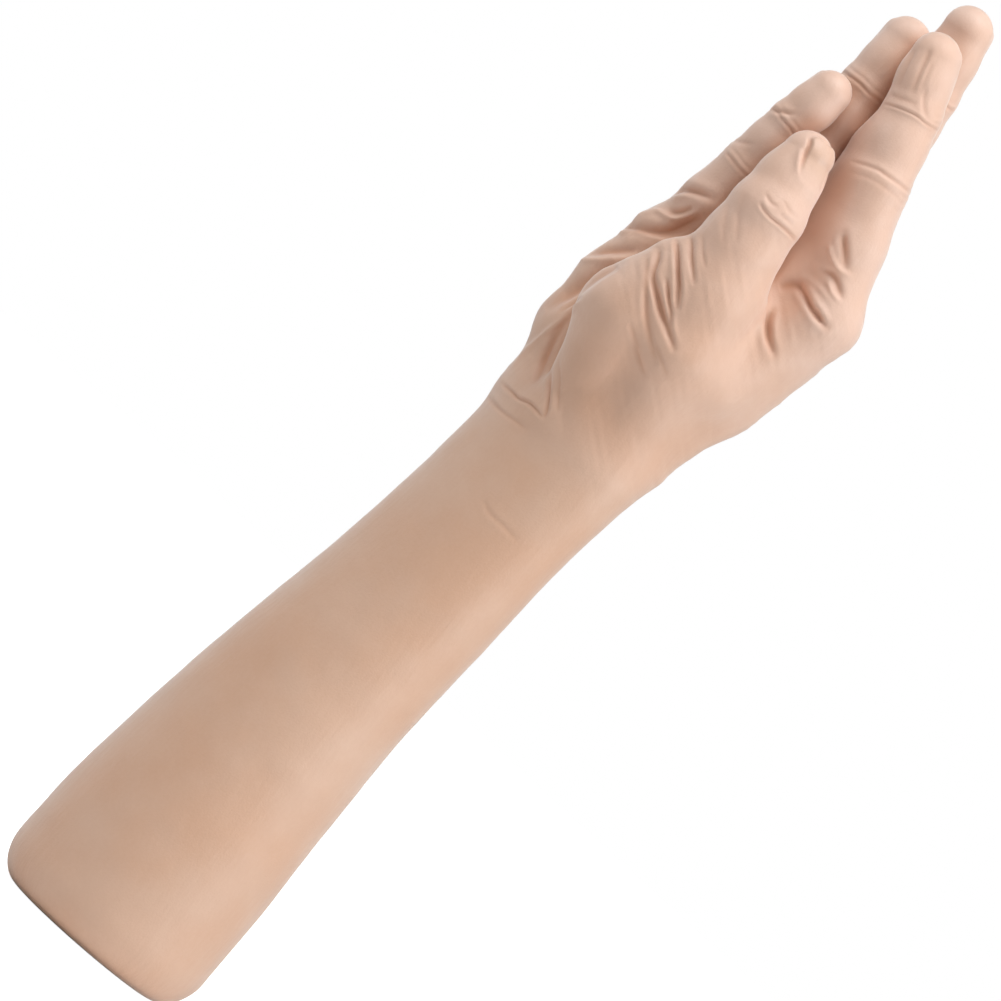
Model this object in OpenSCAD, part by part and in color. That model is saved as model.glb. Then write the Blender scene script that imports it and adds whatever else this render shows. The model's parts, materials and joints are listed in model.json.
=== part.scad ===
// Passive right hand and forearm prosthesis, standing on the foot of its forearm.
// Millimetres. Z runs up the arm, the palm faces -Y and the thumb side is +X.
// The origin is the centre of the foot, on the floor.

/* [Forearm] */

// height of the wrist joint above the foot
wrist_height = 212; // [206:1:218]
// half width of the forearm near its foot
foot_half_width = 38.2; // [37:0.2:40]
// half width of the wrist, from the little finger side to the thumb side
wrist_half_width = 31.4; // [30:0.2:33]
// half depth of the wrist, from the palm side to the back
wrist_half_depth = 22; // [21.4:0.2:23.6]
// how far the wrist stands off the foot's centre toward the thumb side
wrist_lean_x = 9; // [7:0.5:11]
// how far the wrist stands off the foot's centre toward the back of the hand
wrist_lean_y = 8; // [6:0.5:10]
// radius of the rounded edge round the foot
foot_round = 8.5; // [6:0.5:9]

/* [Socket] */

// width of the rounded rim between the socket's mouth and the side of the foot
foot_rim = 13.2; // [12.7:0.5:15.2]
// radius of the socket near its closed end
socket_end_r = 18; // [16:0.5:19]
// depth of the socket
socket_depth = 128; // [110:1:140]
// thickness of the socket liner
liner_wall = 2.8; // [2:0.1:3]

/* [Soft parts] */

// thickness of the glove on the forearm
arm_skin = 2.4; // [2:0.1:2.8]
// thickness of the glove on the hand
skin = 1.8; // [1.5:0.1:2]
// thickness of the laminated forearm shell
shell_wall = 2.5; // [2:0.1:2.8]
// gap between the two halves of the glove at every joint
joint_gap = 0.5; // [0.4:0.05:0.7]

/* [Joints] */

// radius of the steel pins
pin_r = 1.2; // [1:0.05:1.4]
// thickness of the tongue that swings in each fork
tongue_t = 3; // [2.6:0.1:3.2]
// thickness of each ear of a fork
ear_t = 1.6; // [1.2:0.1:1.8]
// how far every finger joint opens, in degrees
opening = 25; // [20:1:28]
// radius of the wrist stud
stud_r = 6.35; // [6:0.05:6.6]

/* [Hidden] */

// fits
running = 0.05;      // radial clearance of a pin in the piece that turns on it
seated = 0.02;       // radial clearance of a pin or ring that stays put
packed = 0.1;        // clearance of foam and lamination against what they lie in
side_gap = 0.35;     // clearance on each side of a tongue

mouth_r = foot_half_width - foot_rim;

// the two halves of the wrist face each other across this gap
wrist = [wrist_lean_x, wrist_lean_y, wrist_height];
wrist_gap = 0.5;

// forks and tongues
ear_r = 3 * pin_r;
tongue_r = ear_r - 0.2;
fork_half = tongue_t / 2 + side_gap + ear_t;
yoke_z = tongue_r + 0.6;
yoke_t = 2;
neck_r = 1.9;
bar_r = 2.2;
arm_r = 3;

// Every digit: name, then its four joint places above the wrist with the radius of the flesh there,
// the bearing that it opens toward, and the foot of its arm on the palm frame.
DIGITS = [
    ["thumb", [[18, -16, 68, 14.5], [19, -20.5, 100, 12], [16, -21, 124, 8.2]], -20, [9, -7]],
    ["index", [[33.5, 16.5, 87, 11.3], [23.7, 3.3, 130, 11.6], [19.6, 0, 154, 10.1], [15.7, -3.7, 173, 8.7]],
        45, [10, 6]],
    ["middle", [[10, 20, 92, 10.8], [6, 19.5, 138, 10.5], [4.5, 16.5, 164, 9.6], [4, 11.5, 185, 8.5]],
        95, [3, 9]],
    ["ring", [[-7, 7.3, 85, 9.6], [-2.2, 0.8, 126, 9.7], [-1.6, -0.8, 151, 8.9], [-2.2, -1.4, 168.6, 8]],
        160, [-6, 7]],
    ["little", [[-16.8, -10, 72, 10.2], [-6, -15.4, 108, 8.9], [-1.5, -18.2, 127, 8.1], [2.5, -18, 142, 7.2]],
        180, [-10, -3]]
];
PIECES = ["link_base", "link_tip", "knuckle_pin", "middle_pin", "foam_base", "foam_tip", "glove_base",
    "glove_tip"];
THUMB = DIGITS[0];
INDEX = DIGITS[1];
MIDDLE = DIGITS[2];
RING = DIGITS[3];
LITTLE = DIGITS[4];

function place(d, i) = wrist + [d[1][i].x, d[1][i].y, d[1][i].z];
function flesh(d, i) = d[1][i][3];
function last(d) = len(d[1]) - 1;
// the end bar stops part of the way along the last bone
function bar_end(d) = place(d, last(d) - 1) + (place(d, last(d)) - place(d, last(d) - 1)) * 0.6;
function unit(v) = v / norm(v);
// the way a joint opens, and the line of its pin, for a bone that points along z
function opening_way(d) = [cos(d[2]), sin(d[2]), 0];
function pin_line(d, bone) = unit(cross(unit(bone), opening_way(d)));

// the forearm's sections: height, share of the lean, half width and half depth
ARM = [
    for (a = [0:18:90]) [foot_round * (1 - sin(a)), 0, foot_half_width - foot_round * (1 - cos(a)),
        foot_half_width - 1.2 - foot_round * (1 - cos(a))],
    [0.17, 0, 1, 0.97], [0.38, 0.1, 0.92, 0.86], [0.54, 0.27, 0.85, 0.76], [0.64, 0.47, 0.82, 0.71],
    [0.73, 0.63, 0.8, 0.66], [0.83, 0.75, 0.79, 0.61], [0.92, 0.88, 0.8, 0.585]
];
FOOT_RINGS = 6;
arm_stations = [
    for (i = [0:len(ARM) - 1])
        i < FOOT_RINGS
            ? ARM[FOOT_RINGS - 1 - i]
            : [ARM[i][0] * wrist_height, ARM[i][1], ARM[i][2] * foot_half_width,
                ARM[i][3] * foot_half_width],
    [wrist_height, 1, wrist_half_width, wrist_half_depth]
];
RING_POINTS = 44;

// ---------- shared shapes ----------

// A closed loft through elliptic sections; each station is height, lean, half width, half depth.
module arm_loft(stations, grow) {
    rings = len(stations);
    points = [
        for (s = stations) for (k = [0:RING_POINTS - 1])
            let (a = 360 * k / RING_POINTS)
            [wrist.x * s[1] + (s[2] + grow) * cos(a), wrist.y * s[1] + (s[3] + grow) * sin(a), s[0]]
    ];
    sides = [
        for (i = [0:rings - 2]) for (k = [0:RING_POINTS - 1])
            let (n = (k + 1) % RING_POINTS, a = i * RING_POINTS, b = a + RING_POINTS)
            each [[a + k, b + k, b + n], [a + k, b + n, a + n]]
    ];
    foot = [for (k = [0:RING_POINTS - 1]) k];
    top = [for (k = [RING_POINTS - 1:-1:0]) (rings - 1) * RING_POINTS + k];
    polyhedron(points, concat([foot], sides, [top]), convexity = 4);
}

// Stands its children at p, with z along the bone, y along the pin and x the way the joint opens.
module at_joint(d, p, bone) {
    z = unit(bone);
    y = pin_line(d, bone);
    x = cross(y, z);
    multmatrix([[x.x, y.x, z.x, p.x], [x.y, y.y, z.y, p.y], [x.z, y.z, z.z, p.z]]) children();
}

// As at_joint, but z follows the bone that comes into the joint and y stays on the same pin.
module at_fork(d, p, bone, incoming) {
    y = pin_line(d, bone);
    z = unit(incoming - y * (incoming * y));
    x = cross(y, z);
    multmatrix([[x.x, y.x, z.x, p.x], [x.y, y.y, z.y, p.y], [x.z, y.z, z.z, p.z]]) children();
}

function fork_foot(d, p, bone, incoming) =
    let (y = pin_line(d, bone), z = unit(incoming - y * (incoming * y))) p - (yoke_z + yoke_t / 2) * z;

// Stands its children at p with z toward q.
module along(p, q) {
    v = q - p;
    translate(p) rotate([0, acos(v.z / norm(v)), atan2(v.y, v.x)]) children();
}

module rod(p, q, r) {
    along(p, q) rotate([0, 0, 40]) cylinder(h = norm(q - p), r = r, $fn = 32);
}

// A knob where two bars meet, a little wider than they are.
module knob(p) {
    ball(p, bar_r + 0.4);
}

// A cylinder along y, centred.
module axle(r, h) {
    rotate([90, 0, 0]) cylinder(h = h, r = r, center = true, $fn = 32);
}

module ball(p, r) {
    translate(p) sphere(r = r, $fn = 48);
}

// The fork that holds a pin: two ears and the yoke that joins them.
module fork() {
    cheek = ear_r - 0.4;
    difference() {
        union() {
            axle(ear_r, 2 * fork_half);
            translate([-cheek, -fork_half, -yoke_z - yoke_t]) cube([2 * cheek, 2 * fork_half, yoke_z + yoke_t]);
        }
        translate([-2 * ear_r, -fork_half + ear_t, -yoke_z]) cube([4 * ear_r, 2 * (fork_half - ear_t), 20]);
        axle(pin_r + seated, 3 * fork_half);
    }
}

// The tongue that turns in a fork, with the neck that carries it.
module tongue(length) {
    blade = neck_r - 0.3;
    difference() {
        union() {
            axle(tongue_r, tongue_t);
            translate([-blade, -tongue_t / 2, 0]) cube([2 * blade, tongue_t, tongue_r + 1.5]);
            translate([0, 0, tongue_r + 1]) cylinder(h = length - tongue_r - 1, r = neck_r, $fn = 32);
        }
        axle(pin_r + running, 2 * tongue_t);
    }
}

// A steel pin with turned-down ends.
module joint_pin() {
    chamfer = 0.3;
    half = fork_half + 0.15;
    rotate([90, 0, 0]) rotate_extrude($fn = 32) polygon([
        [0, -half], [pin_r - chamfer, -half], [pin_r, -half + chamfer],
        [pin_r, half - chamfer], [pin_r - chamfer, half], [0, half]
    ]);
}

// The room that a neck sweeps in the cap of a joint as it opens.
module swept_slot(cap_r) {
    width = 2 * (neck_r + 0.4);
    spread = asin((neck_r + 0.4) / (cap_r - skin));
    rotate([-90, 0, 0]) rotate([0, 0, -90 - spread])
        rotate_extrude(angle = opening + 2 * spread, $fn = 48)
            translate([0, -width / 2]) square([cap_r + 3, width]);
}

// each joint's ball stands this far proud of the turned lengths that meet in it
ball_proud = 0.15;

// The flesh round one bone: a turned shape, a little waisted, with a ball at its far end.
module flesh_round(p, q, r0, r1, grow) {
    length = norm(q - p);
    steps = 8;
    waist = 0.6;
    outline = [
        for (i = [0:steps])
            let (t = i / steps)
            [r0 + (r1 - r0) * t - waist * sin(180 * t) + grow, length * t]
    ];
    along(p, q) rotate_extrude($fn = 48) polygon(concat([[0, 0]], outline, [[0, length]]));
    ball(q, r1 + ball_proud + grow);
}

// ---------- one digit ----------

// The flesh between the knuckle and the middle joint.
module base_flesh(d, grow) {
    flesh_round(place(d, 0), place(d, 1), flesh(d, 0) - 0.6, flesh(d, 1), grow);
}

// The flesh beyond the middle joint.
module tip_flesh(d, grow) {
    for (i = [1:last(d) - 1])
        flesh_round(place(d, i), place(d, i + 1), flesh(d, i) - (i == 1 ? 0.5 : 0), flesh(d, i + 1), grow);
}

module knuckle_frame(d) {
    at_joint(d, place(d, 0), place(d, 1) - place(d, 0)) children();
}

module middle_frame(d) {
    at_joint(d, place(d, 1), place(d, 2) - place(d, 1)) children();
}

// The bar between the two joints of a base link.
module base_bar(d, r) {
    p = place(d, 0);
    q = place(d, 1);
    rod(p + unit(q - p) * (flesh(d, 0) - 1), fork_foot(d, q, place(d, 2) - q, q - p), r);
}

module link_base(d) {
    q = place(d, 1);
    color("silver") {
        knuckle_frame(d) tongue(flesh(d, 0));
        base_bar(d, bar_r);
        at_fork(d, q, place(d, 2) - q, q - place(d, 0)) fork();
    }
}

module link_tip(d) {
    q = place(d, 1);
    end = bar_end(d);
    bend = last(d) == 3 ? place(d, 2) : end;
    color("silver") {
        middle_frame(d) tongue(norm(bend - q));
        if (last(d) == 3) {
            knob(bend);
            rod(bend, end, bar_r - 0.2);
        }
    }
}

module knuckle_pin(d) {
    color("dimgray") knuckle_frame(d) joint_pin();
}

module middle_pin(d) {
    color("dimgray") middle_frame(d) joint_pin();
}

module foam_base(d) {
    p = place(d, 0);
    q = place(d, 1);
    length = norm(q - p);
    color("wheat") difference() {
        base_flesh(d, -skin - packed);
        ball(p, flesh(d, 0) + joint_gap + skin / 2);
        along(p, q) translate([0, 0, length - yoke_z - yoke_t - 0.4]) cylinder(h = 30, r = 20);
        base_bar(d, bar_r + packed);
    }
}

module foam_tip(d) {
    far = last(d);
    end = bar_end(d);
    color("wheat") difference() {
        tip_flesh(d, -skin - packed);
        ball(place(d, 1), flesh(d, 1) + joint_gap + skin / 2);
        if (far == 3) {
            rod(place(d, 1), place(d, 2), bar_r + packed);
            ball(place(d, 2), bar_r + 0.4 + packed);
        }
        rod(place(d, far - 1), end, bar_r + packed);
    }
}

module glove_base(d) {
    color("tan") difference() {
        base_flesh(d, 0);
        base_flesh(d, -skin);
        ball(place(d, 0), flesh(d, 0) + joint_gap);
        middle_frame(d) swept_slot(flesh(d, 1));
    }
}

module glove_tip(d) {
    color("tan") difference() {
        tip_flesh(d, 0);
        tip_flesh(d, -skin);
        ball(place(d, 1), flesh(d, 1) + joint_gap);
    }
}

// ---------- forearm ----------

module forearm_glove() {
    color("tan") difference() {
        arm_loft([for (s = arm_stations) s[0] == wrist_height ? [s[0] - wrist_gap / 2, s[1], s[2], s[3]] : s], 0);
        arm_loft([for (s = arm_stations) if (s[0] > foot_round / 2) [s[0] + 0.2, s[1], s[2], s[3]]], -arm_skin);
        translate([0, 0, -1]) cylinder(h = foot_round + 2, r = mouth_r + liner_wall + seated, $fn = 64);
    }
}

collar_r = wrist_half_depth - arm_skin - shell_wall - 1.2;
collar_h = 19;
collar_top = wrist_height - 3;

// the shell ends below the wrist, where the forearm is a little slimmer than at the wrist itself
shell_end_relief = 0.5;

module forearm_shell() {
    inner = -arm_skin - packed;
    low = foot_round;
    stations = [for (s = arm_stations) if (s[0] >= low) s];
    color("saddlebrown") difference() {
        arm_loft([for (s = stations) s[0] == wrist_height
            ? [collar_top, s[1], s[2] - shell_end_relief, s[3] - shell_end_relief] : s], inner);
        arm_loft([for (s = stations) if (s[0] < collar_top - collar_h)
            [s[0] == low ? low - 1 : s[0], s[1], s[2], s[3]]], inner - shell_wall);
        translate([wrist.x, wrist.y, collar_top - collar_h - 40]) cylinder(h = 80, r = collar_r + seated, $fn = 64);
    }
}

// Half the outline of a cup: its mouth, a short straight hem, the taper and the round closed end.
function cup(grow, low) =
    let (taper_end = socket_depth - socket_end_r, r = socket_end_r + grow)
    concat([[0, low], [mouth_r + grow, low], [mouth_r + grow, foot_round]],
        [for (a = [0:10:80]) [r * cos(a), taper_end + r * sin(a)]], [[1, taper_end + r], [0, taper_end + r]]);

module socket_liner() {
    color("lightsteelblue") rotate_extrude($fn = 64) difference() {
        polygon(cup(liner_wall, 0));
        polygon(cup(0, -1));
    }
}

// ---------- wrist unit ----------

bush_r = stud_r + 4.5;

module on_wrist_axis(z) {
    translate([wrist.x, wrist.y, z]) children();
}

module turned_ring(inner, outer, height) {
    edge = 0.4;
    rotate_extrude($fn = 64) polygon([
        [inner, 0], [outer - edge, 0], [outer, edge], [outer, height - edge], [outer - edge, height],
        [inner, height]
    ]);
}

module wrist_collar() {
    floor_t = 2;
    color("silver") on_wrist_axis(collar_top - collar_h) difference() {
        turned_ring(stud_r + 1, collar_r, collar_h);
        translate([0, 0, floor_t]) cylinder(h = collar_h, r = bush_r + seated, $fn = 64);
    }
}

module friction_bush() {
    saw_cut = 1.2;
    color("ivory") on_wrist_axis(collar_top - collar_h + 2.1) difference() {
        turned_ring(stud_r + running, bush_r, collar_h - 2.4);
        translate([0, -saw_cut / 2, -1]) cube([40, saw_cut, collar_h * 2]);
    }
}

module retaining_ring() {
    color("silver") on_wrist_axis(collar_top + 0.02) difference() {
        turned_ring(stud_r + 1, collar_r, 1.4);
        for (a = [0:90:270])
            rotate([0, 0, a]) translate([(collar_r + bush_r) / 2, 0, -1]) cylinder(h = 4, r = 1, $fn = 24);
    }
}

module friction_washer() {
    color("ivory") on_wrist_axis(collar_top + 1.44) turned_ring(stud_r + 1, collar_r - 2, 1.1);
}

flange_bottom = wrist_height + 0.1;
flange_t = 3;
plate_t = 5;
plate_z = flange_bottom + flange_t;
flange_r = collar_r - 1;
screw_r = 1.5;
screw_circle = flange_r - 4;

module screw_places() {
    for (a = [30:120:270])
        rotate([0, 0, a]) translate([screw_circle, 0, 0]) children();
}

module wrist_stud() {
    thread_end = collar_top - collar_h - 9;
    color("gainsboro") difference() {
        union() {
            on_wrist_axis(flange_bottom) turned_ring(0, flange_r, flange_t);
            on_wrist_axis(thread_end) cylinder(h = flange_bottom - thread_end + 1, r = stud_r, $fn = 48);
        }
        on_wrist_axis(flange_bottom - 1) screw_places() cylinder(h = flange_t + 2, r = screw_r + seated, $fn = 24);
    }
}

module stud_nut() {
    across_flats = 3 * stud_r - 2;
    color("silver") on_wrist_axis(collar_top - collar_h - 6.4) difference() {
        cylinder(h = 6, r = across_flats / sqrt(3), $fn = 6);
        translate([0, 0, -1]) cylinder(h = 8, r = stud_r + seated, $fn = 48);
    }
}

// ---------- palm ----------

function arm_foot(d) = [wrist.x + d[3].x, wrist.y + d[3].y, plate_z + plate_t / 2];
function arm_way(d) = unit(place(d, 0) - arm_foot(d));

// One arm of the palm frame, from the plate to the foot of the knuckle's fork.
module frame_arm(d, r) {
    p = place(d, 0);
    rod(arm_foot(d), fork_foot(d, p, place(d, 1) - p, arm_way(d)), r);
}

module palm_frame() {
    color("silver") difference() {
        union() {
            on_wrist_axis(plate_z) turned_ring(0, flange_r, plate_t);
            for (d = DIGITS) {
                frame_arm(d, arm_r);
                at_fork(d, place(d, 0), place(d, 1) - place(d, 0), arm_way(d)) fork();
            }
        }
        on_wrist_axis(plate_z - 1) screw_places() cylinder(h = plate_t + 2, r = screw_r + seated, $fn = 24);
        on_wrist_axis(plate_z + plate_t - 2) screw_places() cylinder(h = 30, r = 2.9, $fn = 24);
    }
}

module frame_screws() {
    color("dimgray") on_wrist_axis(flange_bottom + 0.3) screw_places() difference() {
        union() {
            cylinder(h = flange_t + plate_t - 2, r = screw_r, $fn = 24);
            translate([0, 0, flange_t + plate_t - 2.25]) cylinder(h = 1.9, r = 2.75, $fn = 24);
        }
        translate([0, 0, flange_t + plate_t - 1.5]) cylinder(h = 3, r = 1.25, $fn = 6);
    }
}

// a place in the palm: where it is above the wrist, and its radius
HEEL_LITTLE = [-17.5, -5.4, 19.1, 13.6];
HEEL_INDEX = [15.5, 14, 30.9, 12.8];
HEEL_THUMB = [8.3, -0.9, 28.1, 19.9];
HEEL_BACK = [3.7, 5.5, 29.8, 19.1];
MID_LITTLE = [-20.1, -10.6, 52.4, 12.5];
MID_RING = [-8.3, 8.7, 53, 9];
MID_MIDDLE = [10, 9.7, 59.2, 18.8];
MID_INDEX = [20.1, 11.2, 58.8, 19.1];
THENAR_PALM = [4.2, -21.8, 48.7, 15.9];
THENAR_SIDE = [22.7, -11.4, 49.8, 13.7];
THENAR_TOP = [15.5, -17.5, 58, 14.3];

module spot(s, grow) {
    translate(wrist + [s.x, s.y, s.z]) sphere(r = s[3] + grow, $fn = 18);
}

// the web between two knuckles hangs on a spot well below each pivot
function web_spot(d) =
    let (p = place(d, 0) - wrist - 11 * arm_way(d)) [p.x, p.y, p.z, flesh(d, 0) - 2.5];

module palm_web(mid_a, a, mid_b, b, grow) {
    hull() {
        spot(mid_a, grow);
        spot(web_spot(a), grow);
        spot(mid_b, grow);
        spot(web_spot(b), grow);
    }
}

module palm_flesh(grow) {
    hull() {
        translate(wrist + [0, 0, wrist_gap / 2 - (grow < 0 ? 1 : 0)]) linear_extrude(grow < 0 ? 1.5 : 0.5)
            scale([1, (wrist_half_depth + grow) / (wrist_half_width + grow)])
                circle(r = wrist_half_width + grow, $fn = 44);
        for (s = [HEEL_LITTLE, HEEL_INDEX, HEEL_THUMB, HEEL_BACK])
            spot(s, grow);
    }
    hull()
        for (s = [HEEL_LITTLE, HEEL_INDEX, HEEL_THUMB, HEEL_BACK, MID_LITTLE, MID_RING, MID_MIDDLE, MID_INDEX])
            spot(s, grow);
    hull()
        for (s = [HEEL_THUMB, MID_RING, MID_INDEX, THENAR_PALM, THENAR_SIDE])
            spot(s, grow);
    palm_web(MID_LITTLE, LITTLE, MID_RING, RING, grow);
    palm_web(MID_RING, RING, MID_MIDDLE, MIDDLE, grow);
    palm_web(MID_MIDDLE, MIDDLE, MID_INDEX, INDEX, grow);
    hull() {
        spot(THENAR_PALM, grow);
        spot(THENAR_SIDE, grow);
        spot(THENAR_TOP, grow);
        spot(web_spot(THUMB), grow);
    }
    hull() {
        spot(THENAR_SIDE, grow);
        spot(MID_INDEX, grow);
        spot(web_spot(THUMB) - [0, 0, 4, 3], grow);
        spot(web_spot(INDEX) - [0, 0, 10, 3], grow);
    }
}

stem_length = 14;

module knuckle_stems(grow) {
    for (d = DIGITS) {
        p = place(d, 0);
        along(p - stem_length * arm_way(d), p)
            cylinder(h = stem_length, r1 = flesh(d, 0) - 3.2 + grow, r2 = flesh(d, 0) - 0.3 + grow, $fn = 28);
        translate(p) sphere(r = flesh(d, 0) + grow, $fn = 28);
    }
}

module palm_glove() {
    color("tan") difference() {
        union() {
            palm_flesh(0);
            knuckle_stems(0);
        }
        palm_flesh(-skin);
        knuckle_stems(-skin);
        for (d = DIGITS)
            knuckle_frame(d) swept_slot(flesh(d, 0));
    }
}

module palm_foam() {
    color("wheat") difference() {
        palm_flesh(-skin - packed);
        translate([wrist.x, wrist.y, wrist_height - 18]) cylinder(h = 20, r = 60);
        on_wrist_axis(wrist_height - 5) cylinder(h = 5 + plate_z + plate_t - wrist_height + 0.5, r = flange_r + 0.4);
        for (d = DIGITS) {
            p = place(d, 0);
            frame_arm(d, arm_r + 0.3);
            along(p - (yoke_z + yoke_t + 1) * arm_way(d), p) cylinder(h = 30, r = flesh(d, 0) - skin - packed);
        }
    }
}

// ---------- the part ----------

forearm_glove();
forearm_shell();
socket_liner();
wrist_collar();
friction_bush();
retaining_ring();
friction_washer();
wrist_stud();
stud_nut();
palm_frame();
frame_screws();
palm_foam();
palm_glove();
for (d = DIGITS) {
    link_base(d);
    link_tip(d);
    knuckle_pin(d);
    middle_pin(d);
    foam_base(d);
    foam_tip(d);
    glove_base(d);
    glove_tip(d);
}
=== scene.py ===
"""A passive prosthetic hand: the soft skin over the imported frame, its materials, light and camera."""
import functools
import itertools
import json
import math
import bpy
import numpy as np
from mathutils import Matrix, Vector


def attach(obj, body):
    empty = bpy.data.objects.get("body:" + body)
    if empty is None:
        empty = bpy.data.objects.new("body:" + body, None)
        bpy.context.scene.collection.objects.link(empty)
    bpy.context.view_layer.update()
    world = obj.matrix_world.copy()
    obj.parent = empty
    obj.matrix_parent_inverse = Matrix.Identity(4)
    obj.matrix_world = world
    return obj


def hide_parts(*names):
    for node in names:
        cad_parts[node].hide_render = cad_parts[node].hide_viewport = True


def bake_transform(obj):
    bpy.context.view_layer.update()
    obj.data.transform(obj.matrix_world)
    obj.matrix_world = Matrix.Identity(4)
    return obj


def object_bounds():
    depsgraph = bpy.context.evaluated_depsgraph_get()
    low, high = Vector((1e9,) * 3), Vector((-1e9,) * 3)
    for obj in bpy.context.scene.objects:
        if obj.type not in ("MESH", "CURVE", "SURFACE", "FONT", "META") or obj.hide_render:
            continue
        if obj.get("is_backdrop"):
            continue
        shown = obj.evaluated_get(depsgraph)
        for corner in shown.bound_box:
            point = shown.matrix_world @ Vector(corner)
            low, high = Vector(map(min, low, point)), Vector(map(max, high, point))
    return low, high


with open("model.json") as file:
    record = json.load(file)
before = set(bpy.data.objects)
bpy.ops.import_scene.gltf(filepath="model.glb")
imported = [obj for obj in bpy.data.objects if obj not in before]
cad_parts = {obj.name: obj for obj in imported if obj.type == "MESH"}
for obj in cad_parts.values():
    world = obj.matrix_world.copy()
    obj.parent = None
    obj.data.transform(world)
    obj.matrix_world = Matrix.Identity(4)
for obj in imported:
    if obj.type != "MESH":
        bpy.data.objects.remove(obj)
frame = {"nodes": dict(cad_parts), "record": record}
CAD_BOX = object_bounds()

MM = 0.001
VIEW_BEARING = math.radians(42)      # the viewer stands between the palm side and the thumb side
WRIST = np.array([9.0, 8.0, 212.0])  # wrist joint, in millimetres
BOX_LOW, BOX_HIGH = np.array([-30.0, -45.0]), np.array([70.0, 55.0])   # ground plan of the whole hand
JOIN = 5.0                           # how widely a digit melts into the palm
CORNERS = list(itertools.product((0, 1), repeat=3))   # the eight corners of a cube

# ---------- places ----------
# The hand is laid out as it is seen from its palm and thumb side, in millimetres:
# across to the right, toward the viewer, and up the arm.
C, S = math.cos(VIEW_BEARING), math.sin(VIEW_BEARING)
ACROSS = np.array([C, S, 0.0])
TOWARD = np.array([S, -C, 0.0])


def at(across, toward, up):
    """A place from its distance across, toward the viewer, and up."""
    return ACROSS * across + TOWARD * toward + np.array([0.0, 0.0, up])


def seen(points):
    """The same three distances back from places: dot products with the view's own axes."""
    return points @ ACROSS, points @ TOWARD, points[:, 2]


# each digit: its joints and its tip's centre as (x, y, z, radius of the flesh), from the wrist joint, and
# the bearing in degrees that it opens toward
DIGITS = {
    "thumb": ([(18, -16, 68, 14.5), (19, -20.5, 100, 12.6), (16.3, -20.7, 121.0, 8.3)], -20),
    "index": ([(33.5, 16.5, 87, 11.3), (23.7, 3.3, 130, 11.3), (19.3, -0.3, 154, 9.8),
               (15.1, -4.2, 171.6, 8.2)], 45),
    "middle": ([(10, 20, 92, 10.8), (6, 19.5, 138, 10.5), (4.5, 16.5, 164, 9.6), (4.1, 11.6, 185.7, 8.5)], 95),
    "ring": ([(-7, 7.3, 85, 9.6), (-2.2, 0.8, 126, 9.7), (-1.4, -0.6, 151, 9.1), (-1.7, -0.9, 170, 8.4)], 160),
    "little": ([(-16.2, -9.4, 72, 9.8), (-5.3, -14.8, 108, 8.5), (-0.7, -17.5, 127, 7.8),
                (3.0, -17.5, 141.6, 7.2)], 180),
}


def level_way(bearing):
    """The level unit way with a bearing in degrees: (cos, sin, 0)."""
    turn = math.radians(bearing)
    return np.array([math.cos(turn), math.sin(turn), 0.0])


def unit(way):
    """A way made one long: each part over its length."""
    return way / np.linalg.norm(way)


class Digit:
    """One digit: its joint places, radii, and the way it opens, square to each bone."""

    def __init__(self, name):
        rows, bearing = DIGITS[name]
        self.name = name
        self.joints = np.array([r[:3] for r in rows], float) + WRIST
        self.radii = [r[3] for r in rows]
        self.open_way = level_way(bearing)

    def bone(self, i):
        """The unit way of bone i, from its joint to the next."""
        return unit(self.joints[i + 1] - self.joints[i])

    def back(self, i):
        """The back of the digit at bone i: the opening way made square to the bone."""
        return unit(self.open_way - self.bone(i) * (self.open_way @ self.bone(i)))


HAND = {name: Digit(name) for name in DIGITS}

# ---------- fields: how far a point is outside a form, negative inside ----------


def ease(low, high, x):
    """0 below low, 1 above high, and 3t² - 2t³ between."""
    t = np.clip((x - low) / (high - low), 0.0, 1.0)
    return t * t * (3 - 2 * t)


def melt(a, b, k):
    """The smaller of two fields, with the meeting filled to about k: min - h²k/4, h = 1 - |a - b|/k."""
    h = np.clip(1 - np.abs(a - b) / k, 0.0, None)
    return np.minimum(a, b) - h * h * k * 0.25


def melt_all(fields, k):
    """Several fields melted into each other one after another."""
    return functools.reduce(lambda a, b: melt(a, b, k), fields)


def limb(p, a, b, ra, rb, flat=1.0, way=None, belly=0.0):
    """A rounded bar from a to b: distance to the nearest point of the line, less a radius that goes
    from ra to rb and swells by belly sin(pi t). Along way the section is flat times as deep."""
    a, b = np.asarray(a, float), np.asarray(b, float)
    ba = b - a
    pa = p - a
    t = np.clip(pa @ ba / (ba @ ba), 0.0, 1.0)
    off = pa - t[:, None] * ba
    if way is not None:
        off = off + np.outer(off @ way, way) * (1 / flat - 1)
    r = ra + (rb - ra) * t + belly * np.sin(np.pi * t)
    return np.sqrt(np.einsum("ij,ij->i", off, off)) - r


def lump(p, centre, radius):
    """A ball: the distance to its centre less its radius."""
    off = p - centre
    return np.sqrt(np.einsum("ij,ij->i", off, off)) - radius


# forearm sections: height, half width, half depth, and the share by which the centre has leaned toward
# the wrist joint
ARM_ROWS = np.array([
    (0.0, 38.2, 37.0, 0.0), (36, 38.2, 37.0, 0.0), (80, 35.2, 33.0, 0.1), (115, 32.5, 29.2, 0.27),
    (136, 31.3, 27.0, 0.47), (155, 30.5, 25.1, 0.63), (176, 30.1, 23.2, 0.75), (195, 30.5, 22.3, 0.88),
    (212, 31.4, 22.0, 1.0), (232, 33.5, 22.0, 1.05),
])


def arm_section(z):
    """Half width, half depth and centre of the forearm at height z: straight lines between the rows, each
    value the mean of five over a window of 24 mm, so that no row shows as an edge."""
    a, b, lean = (sum(np.interp(z + s, ARM_ROWS[:, 0], ARM_ROWS[:, column]) for s in (-12, -6, 0, 6, 12)) / 5
                  for column in (1, 2, 3))
    return a, b, WRIST[0] * lean, WRIST[1] * lean


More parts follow.
